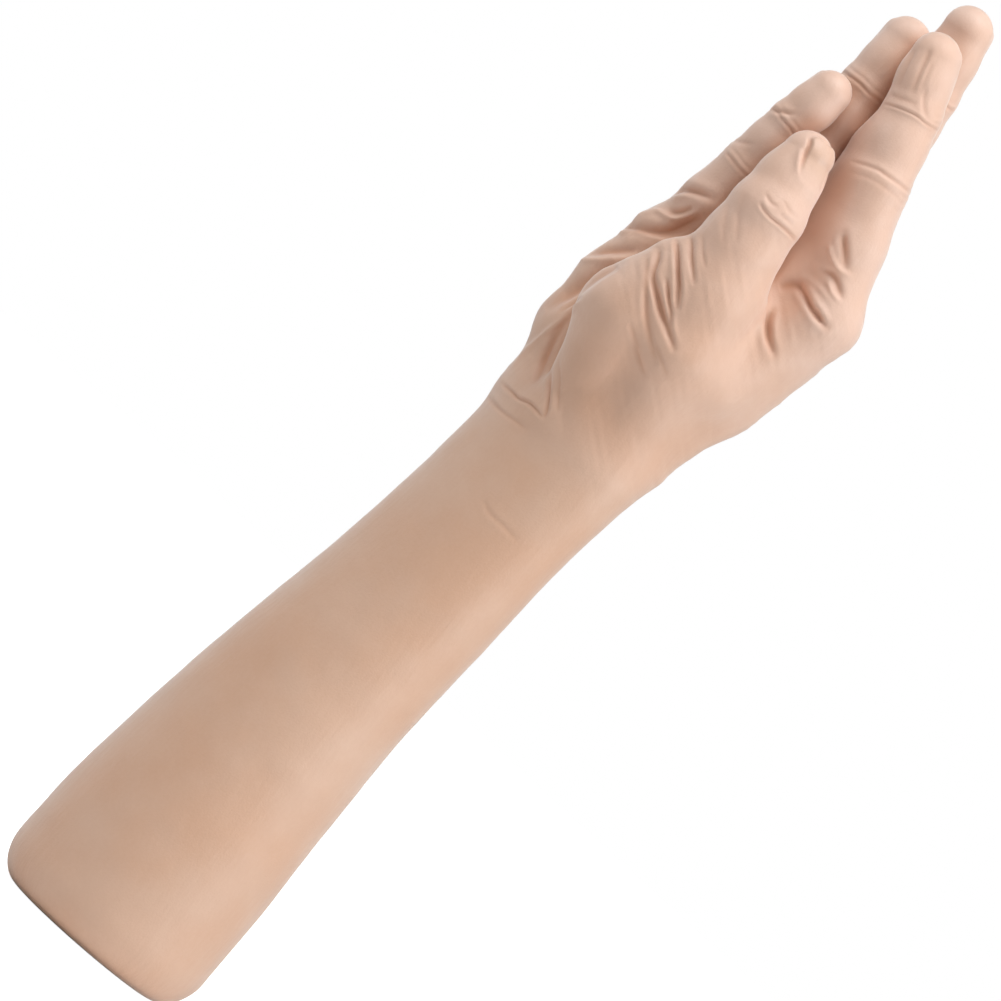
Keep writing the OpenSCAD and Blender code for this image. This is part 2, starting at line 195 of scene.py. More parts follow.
FOOT_ROUND, FOOT_RISE, FOOT_WIDER = 9.0, 14.0, 1.12   # rounding inwards, upwards, and its share sideways
FOREARM_TOP = 226.0


def melt_max(a, b, k):
    """The larger of two fields, with the meeting rounded off to about k."""
    return -melt(-a, -b, k)


def forearm(p):
    """The forearm: the ellipse distance k(k-1)/|grad| in each level section, rounded in at the foot,
    and closed above by a soft lid."""
    a, b, cx, cy = arm_section(p[:, 2])
    low = np.clip(1 - p[:, 2] / FOOT_RISE, 0.0, 1.0)
    inset = FOOT_ROUND * (1 - np.sqrt(1 - low ** 2))
    a, b = a - inset * FOOT_WIDER, b - inset
    x, y = p[:, 0] - cx, p[:, 1] - cy
    k0 = np.sqrt((x / a) ** 2 + (y / b) ** 2)
    k1 = np.sqrt((x / a ** 2) ** 2 + (y / b ** 2) ** 2) + 1e-9
    d = k0 * (k0 - 1) / k1
    return melt_max(d, (p[:, 2] - FOREARM_TOP), 12.0)


def digit_field(p, d):
    """A digit: its bones as rounded bars, each with a pad of flesh on its palm side, melted together."""
    bones = []
    for i in range(len(d.joints) - 1):
        ra, rb, back = d.radii[i], d.radii[i + 1], d.back(i)
        root = ra - (0.5 if i == 0 else 0.1)
        bar = limb(p, d.joints[i], d.joints[i + 1], root, rb - 0.1, 0.97, back, -0.15)
        pad_place = d.joints[i] * 0.45 + d.joints[i + 1] * 0.55 - back * 0.9
        bones.append(melt(bar, lump(p, pad_place, 0.5 * (ra + rb) - 0.8), 4.0))
    total = melt_all(bones, 1.6)
    if d.name == "index":
        # a fold of flesh that fills the space toward the thumb, flat behind where the middle finger passes
        fill = limb(p, at(32, 6.5, 290), at(25.6, 8.6, 348), 9.6, 7.6)
        total = melt(total, np.maximum(fill, 3.4 - p @ TOWARD), 7.0)
    return total


# palm: each row is a bar from one place to another, with its two radii
HYPOTHENAR = [
    (at(-2.0, -7, 227), at(-7.6, -6, 246), 12.4, 12.8),
    (at(-7.6, -6, 246), at(-8.2, -5.5, 264), 13.0, 11.9),
    (at(-8.2, -5.5, 264), HAND["little"].joints[0], 12.2, 11.0),
]
BACK_OF_HAND = [
    (at(20, -7, 226), HAND["middle"].joints[0], 12.4, 10.9),
    (at(8, -9, 226), HAND["ring"].joints[0], 12.4, 10.0),
    (at(30.9, 1, 232), at(38.8, 2, 262), 11.8, 12.0),
    (at(38.8, 2, 262), HAND["index"].joints[0], 12.0, 11.3),
]
PALM_FILL = [
    (at(14, 4, 228), at(18, 3, 262), 17.0, 15.0),
    (at(2, -4, 250), at(10, -3, 275), 14.0, 10.0),
    (at(26, 4, 250), at(36, 6, 285), 12.0, 9.0),
]
THENAR = [
    (at(6, 11, 230), at(0.6, 19.0, 258), 11.6, 14.4),
    (at(0.6, 19.0, 258), HAND["thumb"].joints[0] + np.array([0, 0, 2.0]), 14.4, 14.6),
    (at(0.6, 19.0, 264), at(4.6, 21.0, 279), 13.0, 12.2),
    (at(24, 9, 230), at(20, 22, 262), 11.5, 14.5),
    (at(20, 22, 262), at(17.5, 22, 285), 14.5, 13.0),
]
WEBS = [
    (HAND["little"].joints[0] + (0, 0, -3), HAND["ring"].joints[0] + (0, 0, -5), 8.0, 8.0),
    (HAND["ring"].joints[0] + (0, 0, -2), HAND["middle"].joints[0] + (0, 0, -5), 8.0, 9.0),
    (HAND["middle"].joints[0] + (0, 0, -2), HAND["index"].joints[0] + (0, 0, 0), 9.0, 9.0),
    (at(36, 14, 262), at(44, 12, 290), 10.0, 9.0),
    (at(43.5, 3, 274), at(46.5, 3, 286), 10.6, 10.2),
]


def bars(p, rows, k):
    """Several bars melted into each other by k."""
    return melt_all((limb(p, *row) for row in rows), k)


def palm_field(p):
    """Forearm, palm and thumb mass. The thumb mass melts widely into the radial side and only a little
    into the little finger side, which leaves the deep curved crease between them."""
    back = bars(p, BACK_OF_HAND, 9.0)
    heel = bars(p, HYPOTHENAR, 6.0)
    fill = bars(p, PALM_FILL, 8.0)
    webs = bars(p, WEBS, 5.0)
    body = melt(melt(back, fill, 8.0), heel, 7.0)
    body = melt(body, webs, 5.0)
    body = melt(body, forearm(p), 12.0)
    thenar = bars(p, THENAR, 6.0)
    across, _, up = seen(p)
    k = 1.4 + 9.0 * np.maximum(ease(-3.0, 14.0, across), 1 - ease(214.0, 232.0, up))
    return melt(body, thenar, k)


def hand_field(p, names=tuple(DIGITS)):
    """The palm with the named digits grown out of it; digits never melt into each other."""
    base = palm_field(p)
    grown = base
    for name in names:
        grown = np.minimum(grown, melt(base, digit_field(p, HAND[name]), JOIN))
    return grown


# ---------- surfaces ----------


COARSE = 4          # lattice steps in one coarse step
NEAR_SHARE = 1.9    # how many coarse steps from the surface still count as near it
FAR = 1e3           # stands for a distance that doesn't matter


def lattice_skin(field, low, high, step):
    """Surface nets: on a lattice of the given step, each cube that the surface crosses gets one vertex,
    the mean of the crossings of its twelve edges, and each crossed lattice edge joins its four cubes
    with one four-sided face, wound so that it looks outwards."""
    low = np.floor(np.asarray(low) / step) * step
    counts = np.ceil((np.asarray(high) - low) / step).astype(int) + 1
    axes = [low[i] + step * np.arange(counts[i]) for i in range(3)]

    # the field is worked out everywhere on a coarse lattice, then finely near the surface
    marks = [np.arange(0, counts[i] + COARSE, COARSE) for i in range(3)]
    places = np.stack(np.meshgrid(*[low[i] + step * marks[i] for i in range(3)], indexing="ij"), -1)
    values = field(places.reshape(-1, 3)).reshape(places.shape[:3])

    def spread(cells):
        """Each coarse value repeated over the fine lattice places nearest to it."""
        for axis in range(3):
            cells = np.repeat(cells, COARSE, axis)
        half = COARSE // 2
        return cells[half:, half:, half:][:counts[0], :counts[1], :counts[2]]

    grid = np.where(spread(values) < 0, -FAR, FAR)
    near = np.nonzero(spread(np.abs(values) < step * COARSE * NEAR_SHARE))
    grid[near] = field(np.stack([axes[i][near[i]] for i in range(3)], -1))
    inside = grid < 0
    count = sum(inside[dx:counts[0] - 1 + dx, dy:counts[1] - 1 + dy, dz:counts[2] - 1 + dz].astype(np.int8)
                for dx, dy, dz in CORNERS)
    cells = np.nonzero((count > 0) & (count < 8))
    cell_id = np.full(np.array(counts) - 1, -1, np.int64)
    cell_id[cells] = np.arange(len(cells[0]))
    value = {c: grid[cells[0] + c[0], cells[1] + c[1], cells[2] + c[2]] for c in CORNERS}
    total = np.zeros((len(cells[0]), 3))
    hits = np.zeros(len(cells[0]))
    for start, axis in itertools.product(CORNERS, range(3)):
        if start[axis]:
            continue
        end = tuple(c + (i == axis) for i, c in enumerate(start))
        v0, v1 = value[start], value[end]
        cross = (v0 < 0) != (v1 < 0)
        t = np.where(cross, v0 / np.where(cross, v0 - v1, 1.0), 0.0)
        place = np.tile(np.array(start, float), (len(t), 1))
        place[:, axis] += t
        total += place * cross[:, None]
        hits += cross
    verts = np.stack([axes[i][cells[i]] for i in range(3)], -1) + step * total / hits[:, None]
    quads = []
    for axis in range(3):
        u, v = (axis + 1) % 3, (axis + 2) % 3
        ends = [slice(1, -1)] * 3
        ends[axis] = slice(0, -1)
        first = inside[tuple(ends)]
        ends[axis] = slice(1, None)
        crossed = np.nonzero(first != inside[tuple(ends)])
        ids = []
        for du, dv in ((1, 1), (0, 1), (0, 0), (1, 0)):
            cell = np.stack(crossed, -1)
            cell[:, u] += du
            cell[:, v] += dv
            ids.append(cell_id[cell[:, 0], cell[:, 1], cell[:, 2]])
        quad = np.stack(ids, -1)
        flip = ~first[crossed]
        quad[flip] = quad[flip][:, ::-1]
        quads.append(quad[(quad >= 0).all(1)])
    return verts, np.concatenate(quads)


def slope(field, p, h=0.15):
    """The field's gradient by central differences over 2h: (f(p + h) - f(p - h)) / 2h on each axis."""
    return np.stack([(field(p + way) - field(p - way)) / (2 * h) for way in np.eye(3) * h], -1)


def settle(field, verts, rounds):
    """Newton steps onto the surface: p - f g / |g|²."""
    for _ in range(rounds):
        g = slope(field, verts)
        f = field(verts)
        verts = verts - g * (np.clip(f, -1, 1) / np.maximum((g * g).sum(1), 0.05))[:, None]
    return verts


def even_out(verts, quads, field):
    """One relaxing step: each vertex moves to the mean of its faces' middles, then back to the surface."""
    mid = verts[quads].mean(1)
    total = np.zeros_like(verts)
    hits = np.zeros(len(verts))
    for k in range(4):
        np.add.at(total, quads[:, k], mid)
        np.add.at(hits, quads[:, k], 1)
    return settle(field, total / np.maximum(hits, 1)[:, None], 1)


def finer(verts, quads):
    """Each four-sided face becomes four: new vertices at the middles of its edges and of itself."""
    edges = np.sort(np.concatenate([quads[:, [k, (k + 1) % 4]] for k in range(4)]), 1)
    unique, place = np.unique(edges, axis=0, return_inverse=True)
    place = place.reshape(4, -1)
    n, m = len(verts), len(unique)
    new = np.concatenate([verts, verts[unique].mean(1), verts[quads].mean(1)])
    middle = n + m + np.arange(len(quads))
    parts = [np.stack([quads[:, k], n + place[k], middle, n + place[(k - 1) % 4]], -1) for k in range(4)]
    return new, np.concatenate(parts)


def vertex_normals(verts, faces):
    """Each vertex's normal: the sum of its faces' area vectors, each the cross product of the face's
    diagonals, made unit."""
    area = np.cross(verts[faces[:, 2]] - verts[faces[:, 0]], verts[faces[:, 3]] - verts[faces[:, 1]])
    total = np.zeros_like(verts)
    for k in range(4):
        for axis in range(3):
            total[:, axis] += np.bincount(faces[:, k], area[:, axis], len(verts))
    return total / np.maximum(np.linalg.norm(total, axis=1), 1e-9)[:, None]


def build_skin(names, low, high, step):
    """The surface of the palm with the named digits: netted, settled, evened out, and made finer once."""
    def field(p):
        return hand_field(p, names)

    verts, quads = lattice_skin(field, low, high, step)
    verts = even_out(settle(field, verts, 2), quads, field)
    verts, quads = finer(verts, quads)
    return settle(field, verts, 1), quads


def make_object(name, verts, faces, normals=None, shades=None, flat=0):
    """A mesh object in metres at the origin, with its own normals and its named colour masks. The last
    flat faces keep their plain normals."""
    mesh = bpy.data.meshes.new(name)
    mesh.from_pydata((verts * MM).tolist(), [], faces)
    mesh.polygons.foreach_set("use_smooth", np.ones(len(mesh.polygons), bool))
    for key, values in (shades or {}).items():
        layer = mesh.attributes.new(key, "FLOAT", "POINT")
        layer.data.foreach_set("value", values.astype(np.float32))
    mesh.update()
    if normals is not None:
        corners = np.empty(len(mesh.loops), np.int32)
        mesh.loops.foreach_get("vertex_index", corners)
        at_corners = normals[corners]
        if flat:
            plain = np.empty(3 * len(mesh.polygons), np.float32)
            mesh.polygons.foreach_get("normal", plain)
            sizes = np.array([len(face) for face in faces[-flat:]])
            at_corners[-sizes.sum():] = np.repeat(plain.reshape(-1, 3)[-flat:], sizes, axis=0)
        mesh.normals_split_custom_set(at_corners.tolist())
    obj = bpy.data.objects.new(name, mesh)
    bpy.context.scene.collection.objects.link(obj)
    return obj


STEP = 1.0


# ---------- relief: folds, rolls, lines across the digits, and nails ----------


def cloud(p, size, seed):
    """Smooth random heights from -1 to 1: random numbers at the corners of cubes of the given size,
    mixed with 3t² - 2t³ weights."""
    q = p / size
    i = np.floor(q).astype(np.int64)
    f = q - i
    f = f * f * (3 - 2 * f)
    total = 0.0
    for dx, dy, dz in CORNERS:
        n = (i[:, 0] + dx) * 73856093 ^ (i[:, 1] + dy) * 19349663 ^ (i[:, 2] + dz) * 83492791
        n = ((n ^ seed * 9176) * 2246822519 + 3266489917) & 0xFFFFFFFF
        n = ((n ^ (n >> 15)) * 2246822519) & 0xFFFFFFFF
        n = (n ^ (n >> 13)) & 0xFFFFFF
        w = np.abs(1 - dx - f[:, 0]) * np.abs(1 - dy - f[:, 1]) * np.abs(1 - dz - f[:, 2])
        total = total + w * (n / 8388607.5 - 1.0)
    return total


def curve_through(points, count=10):
    """A Catmull-Rom curve through the points, count steps to a span."""
    pts = np.array([points[0]] + list(points) + [points[-1]], float)
    t = np.linspace(0, 1, count, endpoint=False)[:, None]
    out = []
    for a, b, c, d in zip(pts, pts[1:], pts[2:], pts[3:]):
        out.append(0.5 * ((2 * b) + (c - a) * t + (2 * a - 5 * b + 4 * c - d) * t ** 2
                          + (3 * b - a - 3 * c + d) * t ** 3))
    return np.concatenate(out + [pts[-1:]])


def from_line(u, v, line):
    """Distance from each point to the nearest span of the line, and how far along it is from 0 to 1."""
    best = np.full(len(u), 1e9)
    share = np.zeros(len(u))
    spans = len(line) - 1
    for k in range(spans):
        a, b = line[k], line[k + 1]
        way = b - a
        length2 = way @ way + 1e-12
        pu, pv = u - a[0], v - a[1]
        t = np.clip((pu * way[0] + pv * way[1]) / length2, 0, 1)
        du, dv = pu - t * way[0], pv - t * way[1]
        d = du * du + dv * dv
        closer = d < best
        best = np.where(closer, d, best)
        share = np.where(closer, (k + t) / spans, share)
    return np.sqrt(best), share


# Folds drawn as they are seen from the palm and thumb side: a path of (across, up) places, the depth of
# the groove (less than zero is a raised ridge), its half width, and the share of the depth heaped beside it.
PALM_FOLDS = [
    # wrist creases
    ([(-15, 218.2), (-11.3, 218.1), (-8, 217.9), (-4.7, 218.9), (-1.5, 218.7), (1.3, 218.2)], 0.65, 0.6, 0.6),
    ([(-16, 212.2), (-13.7, 211.8), (-8.5, 211.4), (0, 212.2)], 0.4, 0.7, 0.5),
    # a faint line across the forearm
    ([(4.5, 186.5), (9, 184.8), (14, 184.6), (21, 184)], 0.2, 0.8, 0.5),
    # between the wrist and the thumb mass
    ([(-7, 232.1), (-3.4, 227.3), (0.5, 221.6), (2, 218.6)], 0.7, 0.55, 0.7),
    ([(-6.5, 235), (-2.6, 231.1), (0.7, 226.7), (3.6, 222.6)], 0.35, 0.5, 0.5),
    ([(-13.1, 247.5), (-12.3, 240.9), (-10.7, 234.9), (-8.6, 228.9), (-7.6, 225)], 0.9, 1.1, 0.4),
    ([(-13.8, 253.8), (-14.8, 250.8), (-15.9, 247.2)], 0.6, 0.6, 0.6),
    ([(-13.1, 253), (-13.6, 246.2), (-15, 239.8), (-16.2, 231.4), (-16.1, 224.5)], -0.8, 0.9, 0.0),
    # hollows and rolls on the little finger side
    ([(-21, 244), (-18.6, 250.8), (-17, 255.8), (-15.4, 262.6), (-13.7, 267), (-12.5, 269.8)], 1.9, 2.2, 0.5),
    ([(-21.5, 263.4), (-20.5, 264.4), (-16.4, 268), (-12, 272.7), (-9.7, 277.1)], -0.7, 1.0, 0.0),
    ([(-21, 267), (-19, 269.3), (-17.1, 271.6), (-13.7, 274.6), (-10.7, 276.9)], 1.1, 1.3, 0.4),
    ([(-20, 278), (-18.8, 278.4), (-14.9, 281.7), (-11.3, 283.1), (-6.1, 285.5)], -0.8, 1.1, 0.0),
    ([(-19.5, 280.5), (-17.7, 281.4), (-13, 283.9), (-8.8, 286.5), (-5.6, 289.8), (-3.4, 294.2),
      (-1.7, 298.6)], 1.8, 1.7, 0.5),
    ([(-17.5, 285.6), (-15.8, 288.3), (-13.7, 290.7), (-10.7, 291.5), (-7.6, 292.8), (-5.2, 297.4)],
     -0.9, 1.0, 0.0),
    ([(-10.8, 292.9), (-8, 295.3), (-6, 298.6)], 0.9, 0.9, 0.4),
    ([(-12.5, 296.5), (-11, 299), (-9, 301)], -0.8, 1.1, 0.0),
    ([(-14.5, 298), (-12, 301.4), (-8.5, 303.2), (-3.3, 304.8)], 1.3, 1.2, 0.4),
    # the fan of folds on the thumb mass
    ([(-2.6, 286.3), (-0.2, 283.6), (3.9, 279.2), (7, 275.9), (10.6, 271.1)], 1.35, 0.75, 0.7),
    ([(-5.2, 281), (-3.8, 278.6), (-1.4, 273.4), (4.6, 269), (9.4, 265.9), (14.9, 262.7), (18.2, 260.7)],
     1.3, 0.95, 0.7),
    ([(2.6, 275.4), (4.5, 273.7), (7.1, 271.1), (10, 268.7), (13, 265.2)], 0.85, 0.6, 0.6),
    ([(-0.2, 290.4), (1, 288.9), (3.3, 286), (6.3, 283.1), (9.5, 280.2)], 0.8, 0.7, 0.6),
    ([(-6, 277), (-4.6, 274.3), (1.3, 267.2), (5.6, 262.6), (11.3, 257.8), (16.9, 254.1)], 0.6, 0.9, 0.6),
    ([(2.4, 292.6), (5.4, 289), (9, 286)], 0.3, 0.6, 0.5),
    ([(8.1, 253.8), (12.2, 251.2), (16.9, 248.6)], 0.4, 0.7, 0.6),
    ([(13, 258), (17.7, 255.4), (22.3, 252.8)], 0.35, 0.7, 0.5),
    ([(2.9, 257.7), (6.9, 255.2), (10.4, 253.3)], 0.3, 0.7, 0.5),
    # web between the thumb and the index finger
    ([(33.4, 290), (34.6, 287.4), (36.4, 285), (38.8, 282.7), (42.8, 280.4)], 1.4, 1.0, 0.5),
    ([(30.4, 297.2), (32.9, 300.6), (36.1, 301.8)], 1.0, 1.6, 0.3),
    # base of the index finger
    ([(35, 301.9), (37.8, 300.8), (41.3, 299.2), (45.3, 298), (49.8, 297.4)], 1.5, 1.0, 0.7),
    ([(43.4, 299.4), (45.6, 298.4), (47.4, 297.8)], 0.9, 0.8, 0.0),
    ([(33.1, 304.8), (36.5, 305.2), (41.3, 305), (45.5, 304.1)], -0.5, 1.0, 0.0),
    ([(37.2, 310.3), (40.1, 310.8), (42.8, 310.1), (46.8, 307.7)], 1.1, 1.0, 0.4),
    ([(40.6, 308), (41.9, 307.7), (44.3, 306.4), (47.5, 306)], -0.6, 0.8, 0.0),
    ([(33.6, 317.2), (34.9, 316.3), (37.7, 314.6), (41.2, 313.6), (45, 314)], -0.9, 0.9, 0.0),
    ([(34.8, 322.6), (36.2, 320.9), (38.5, 318.7), (42, 315.6)], 1.2, 1.1, 0.3),
]
# and on the digits
DIGIT_FOLDS = {
    "thumb": [
        ([(9, 312), (10.6, 311.3), (14.1, 310.8), (18.3, 311.1), (22.7, 311.1), (24.9, 310.7)], 0.55, 0.5, 0.8),
        ([(8.5, 315.2), (11.1, 314.3), (13.6, 314.6)], 0.3, 0.6, 0.5),
        ([(15.6, 313.4), (18.4, 313.6), (21, 313.8)], 0.25, 0.5, 0.6),
        ([(14, 317.2), (17.4, 316.2), (20.5, 316.6)], 0.18, 0.6, 0.5),
        ([(2, 306), (4.4, 300.5), (8.4, 295.4)], 0.2, 0.8, 0.5),
        ([(3.5, 312), (6.3, 305), (11, 298.4)], 0.18, 0.8, 0.5),
        ([(7.4, 333.4), (9.4, 329.4), (12, 326.6)], -0.35, 0.9, 0.0),
    ],
    "index": [
        ([(17.6, 362), (23.6, 364.2), (27.9, 365.3), (31.9, 365.6), (36.4, 366.9)], 0.45, 0.4, 0.9),
        ([(22.4, 341.8), (29, 344.5), (32.7, 345.1), (38.5, 345.9), (43, 346.1)], 0.4, 0.6, 0.8),
        ([(24, 338.8), (30.3, 341.2), (36.6, 342.1), (41.2, 342.6)], 0.2, 0.7, 0.5),
        ([(13.6, 381.4), (14.3, 379.2), (15.7, 373.9), (17.6, 368.6)], 0.45, 0.8, 0.6),
        ([(17.4, 383.8), (18.3, 381.4), (19.7, 376.3), (21.9, 370)], 0.4, 0.75, 0.6),
        ([(20.6, 381), (22, 376.5), (23.6, 371.5)], 0.2, 0.7, 0.5),
        ([(24.1, 374), (27.3, 369.3), (31, 367)], 0.25, 0.8, 0.5),
        ([(16.6, 364.9), (20.9, 366.3), (25.4, 368)], 0.3, 0.9, 0.4),
    ],
    "little": [
        ([(-9, 337.4), (-5.5, 338.6), (-1, 341)], 0.55, 0.7, 0.6),
        ([(-12.5, 322), (-9, 323.4), (-5, 325.6)], 0.3, 0.7, 0.5),
    ],
}


def view_folds(p, n, rows):
    """Every fold as a groove -depth exp(-(d/w)²) with shoulders, on the side that faces the viewer, and fading
    towards its ends. Returns the height and the share of painted shade in the grooves."""
    across, _, up = seen(p)
    facing = ease(-0.05, 0.35, n @ TOWARD)
    height, shade = np.zeros(len(p)), np.zeros(len(p))
    for path, depth, width, heap in rows:
        line = curve_through(path)
        margin = 6 * width
        lo, hi = line.min(0) - margin, line.max(0) + margin
        near = (across > lo[0]) & (across < hi[0]) & (up > lo[1]) & (up < hi[1]) & (facing > 0)
        near = np.nonzero(near)[0]
        if not len(near):
            continue
        d, share = from_line(across[near], up[near], line)
        fade = np.sqrt(np.clip(np.sin(np.pi * np.clip(share, 0.02, 0.98)), 0, 1)) * facing[near]
        groove = np.exp(-(d / width) ** 2)
        shoulder = np.exp(-((d - 2.2 * width) / (1.2 * width)) ** 2)
        height[near] += fade * depth * (heap * shoulder * 0.5 - groove)
        shade[near] = np.maximum(shade[near], fade * np.clip(depth, 0.0, 1.0) * groove)
    return height, shade


def joint_lines(p, d, i, lines, low, high):
    """Lines across a digit at joint i: grooves at set distances along the bone, where the side that
    faces (1 is the back, -1 the palm) lies between low and high. A line wanders by a sum of sines."""
    way = unit(d.bone(i) + d.bone(i - 1))
    back = d.back(i)
    off = p - d.joints[i]
    s = off @ way
    radial = off - np.outer(s, way)
    c = (radial @ back) / np.maximum(np.linalg.norm(radial, axis=1), 1e-6)
    cross = np.cross(way, back)
    a = np.arctan2(radial @ cross, radial @ back)
    mask = ease(low, low + 0.3, c) * (1 - ease(high - 0.3, high, c))
    wobble = 0.5 * np.sin(3 * a + i) + 0.35 * np.sin(7 * a + 2 * i)
    height, shade = np.zeros(len(p)), np.zeros(len(p))
    for place, depth, width in lines:
        g = np.exp(-((s - place - wobble * width) / width) ** 2) * mask
        b = np.exp(-((np.abs(s - place) - 2.2 * width) / (1.2 * width)) ** 2) * mask
        height += depth * (0.3 * b - g)
        shade = np.maximum(shade, min(depth * 1.2, 1) * g)
    return height, shade


NAIL_BEARING = {"thumb": -6, "index": 90, "middle": 106, "ring": 165, "little": 158}
NAIL_SIZE = {"thumb": (13.5, 11.5), "index": (11, 10), "middle": (11, 10), "ring": (11, 10), "little": (8.5, 8)}
NAIL_CORNER = 2.2
# lines on the palm side and on the back of each finger joint: place along the bone, depth, half width
PALM_LINES = [(-0.6, 0.34, 0.5), (1.6, 0.12, 0.5)]
BACK_LINES = [(-5.0, 0.06, 0.8), (-2.4, 0.12, 0.7), (-0.2, 0.16, 0.7), (2.0, 0.12, 0.7), (4.4, 0.06, 0.8)]


def nail_relief(p, d, back, length, width):
    """A nail on the back of the last bone: a plate in a rounded rectangle that runs on straight where the
    tip rounds away, with a groove along its sides that fades toward the root, and a small step at its end.
    Returns the height, the groove's shade and the plate's mask."""
    i = len(d.joints) - 2
    way = d.bone(i)
    back = unit(back - way * (back @ way))
    cross = np.cross(way, back)
    tip, r = d.joints[-1], d.radii[-1]
    off = p - tip
    s = off @ way + 0.6
    u = off @ cross
    out = off @ back
    on_back = ease(0.15 * r, 0.5 * r, out)
    # rounded box distance in the plate's own plane
    du = np.abs(u) - (width / 2 - NAIL_CORNER)
    ds = np.abs(s) - (length / 2 - NAIL_CORNER)
    box = np.hypot(np.maximum(du, 0), np.maximum(ds, 0)) + np.minimum(np.maximum(du, ds), 0) - NAIL_CORNER
    plate = (1 - ease(-0.4, 0.2, box)) * on_back
    from_root = ease(-0.55 * length, -0.05 * length, s)
    end = ease(0.3 * length, 0.5 * length, s)
    side = np.exp(-((box - 0.3) / 0.5) ** 2) * on_back * from_root * (1 - end)
    fold = np.exp(-((box - 1.5) / 1.0) ** 2) * on_back * (0.3 + 0.7 * from_root) * (1 - end)
    # how far the straight plate stands above the rounded tip
    level = r + 0.1 - np.maximum(s - 0.1 * length, 0) ** 2 / 18 - u * u / (2.1 * r)
    lift = np.clip(level - out, 0.0, 0.5) * plate * ease(-0.1 * length, 0.2 * length, s)
    step = np.exp(-((box - 0.5) / 0.45) ** 2) * on_back * end
    height = lift + 0.1 * plate * from_root - 0.75 * side - 0.35 * step + 0.4 * fold
    return height, np.maximum(side * 0.8, step * 0.3), plate * from_root


DIGIT_REACH = 75.0    # no part of a digit is farther than this from the mean of its joints, on any axis


def relief(p, n, names):
    """All the small forms together, as a height along the normal, with masks for painted shade in the grooves
    and for the nail.
    """
    height, shade = view_folds(p, n, PALM_FOLDS)
    nail = np.zeros(len(p))
    across, toward, up = seen(p)
    for name in names:
        d = HAND[name]
        near = np.nonzero((np.abs(p - d.joints.mean(0)) < DIGIT_REACH).all(1))[0]
        if not len(near):
            continue
        q = p[near]
        own = ease(2.5, 0.5, np.abs(digit_field(q, d)))
        h, s = view_folds(q, n[near], DIGIT_FOLDS.get(name, []))
        for i in range(1, len(d.joints) - 1):
            sets = []
            if name in ("ring", "middle", "little"):
                sets.append((PALM_LINES, -1.2, 0.45))
            if name != "thumb":
                sets.append((BACK_LINES, 0.5, 1.4))
            for lines, low, high in sets:
                h1, s1 = joint_lines(q, d, i, lines, low, high)
                h, s = h + h1, np.maximum(s, s1)
        h2, s2, plate = nail_relief(q, d, level_way(NAIL_BEARING[name]), *NAIL_SIZE[name])
        height[near] += own * (h + h2)
        shade[near] = np.maximum(shade[near], own * np.maximum(s, s2))
        nail[near] = np.maximum(nail[near], own * plate)
    # slow swelling of the soft surface, and fine ripples that run down and to the right over the thumb mass
    height += 0.25 * cloud(p, 14.0, 3) + 0.10 * cloud(p, 6.0, 5)
    slant = np.stack([(across * 0.64 + up * 0.77) / 1.6, (across * 0.77 - up * 0.64) / 14.0, toward / 10.0], -1)
    over = ease(205, 225, up) * (1 - ease(300, 315, up))
    height += 0.10 * cloud(slant, 1.0, 8) * over
    return height, np.clip(shade, 0, 1), nail


# ---------- skin pieces ----------

WRIST_LOW, WRIST_HIGH = 165.0, 238.0    # heights of the two cuts round the wrist
# where each digit's skin is cut, as distances along its first bone from the knuckle
KNUCKLE_CUT = {"thumb": -4.0, "index": -5.0, "middle": -5.0, "ring": -5.0, "little": -4.5}
MIDDLE_CUT = {"thumb": 19.0, "index": 27.0, "middle": 29.0, "ring": 26.0, "little": 24.0}
KNUCKLE_TURNED = 9.0    # a distance past a digit's knuckle; the loop below only works it out as a place and uses it no further
MIDDLE_STILL, MIDDLE_TURNED = -10.0, 9.0    # two distances about a digit's middle joint, worked out as places in the same way and used no further
OVERLAP, LIP, TUCK = 2.0, 3.0, 0.12    # border under the neighbour, depth of a lip, sinking of the border
OWN = 4.0    # skin farther than this from every digit belongs to the palm
DIGIT_ROOM = 22.0    # room round a digit's joints that holds all its skin


def along_digit(p, d, i=0):
    """Distance of each point along bone i from its joint."""
    return (p - d.joints[i]) @ d.bone(i)


def on_digit(d, distance, i=0):
    """The place at a distance along a digit from joint i, on the line of its first bone."""
    return d.joints[i] + d.bone(0) * distance


def hollow_shade_share(p, n, reach=7.0):
    """How far each point lies in a hollow or a gap, which sets the painted shade there: 1 less the clear
    distance found reach mm outwards.
    """
    return np.clip(1 - hand_field(p + n * reach) / reach, 0.0, 1.0)


# painted shade: spots where the skin is painted darker to stand in for shade on the thumb mass and wrist and in
# the gaps between the digits, seen from the viewer's side: across, up, radius across and up, strength
PAINTED_SHADE_SPOTS = [(4, 240, 13, 15, 0.8), (18, 228, 13, 9, 0.6), (26, 268, 7, 12, 0.45), (-4, 262, 5, 9, 0.4),
          (8, 376, 3, 12, 0.6), (-4, 322, 3.5, 9, 0.5)]


def deeper(p, n):
    """The share of painted shade in spots: the sum of strength exp(-(across/r)² - (up/r)²), kept to the
    viewer's side."""
    across, _, up = seen(p)
    total = sum(s * np.exp(-((across - x) / rx) ** 2 - ((up - z) / rz) ** 2) for x, z, rx, rz, s in PAINTED_SHADE_SPOTS)
    return np.clip(total, 0, 1) * ease(-0.2, 0.5, n @ TOWARD)


def finished(verts, quads, names):
    """Vertices moved along their normals by the relief, with the new normals and the colour masks: painted
    shade in grooves, hollows and spots, and the nail.
    """
    n = vertex_normals(verts, quads)
    height, shade, nail = relief(verts, n, names)
    out = verts + n * height[:, None]
    masks = {"fold": shade, "nail": nail, "hollow": hollow_shade_share(verts, n), "deeper": deeper(verts, n)}
    return out, vertex_normals(out, quads), masks


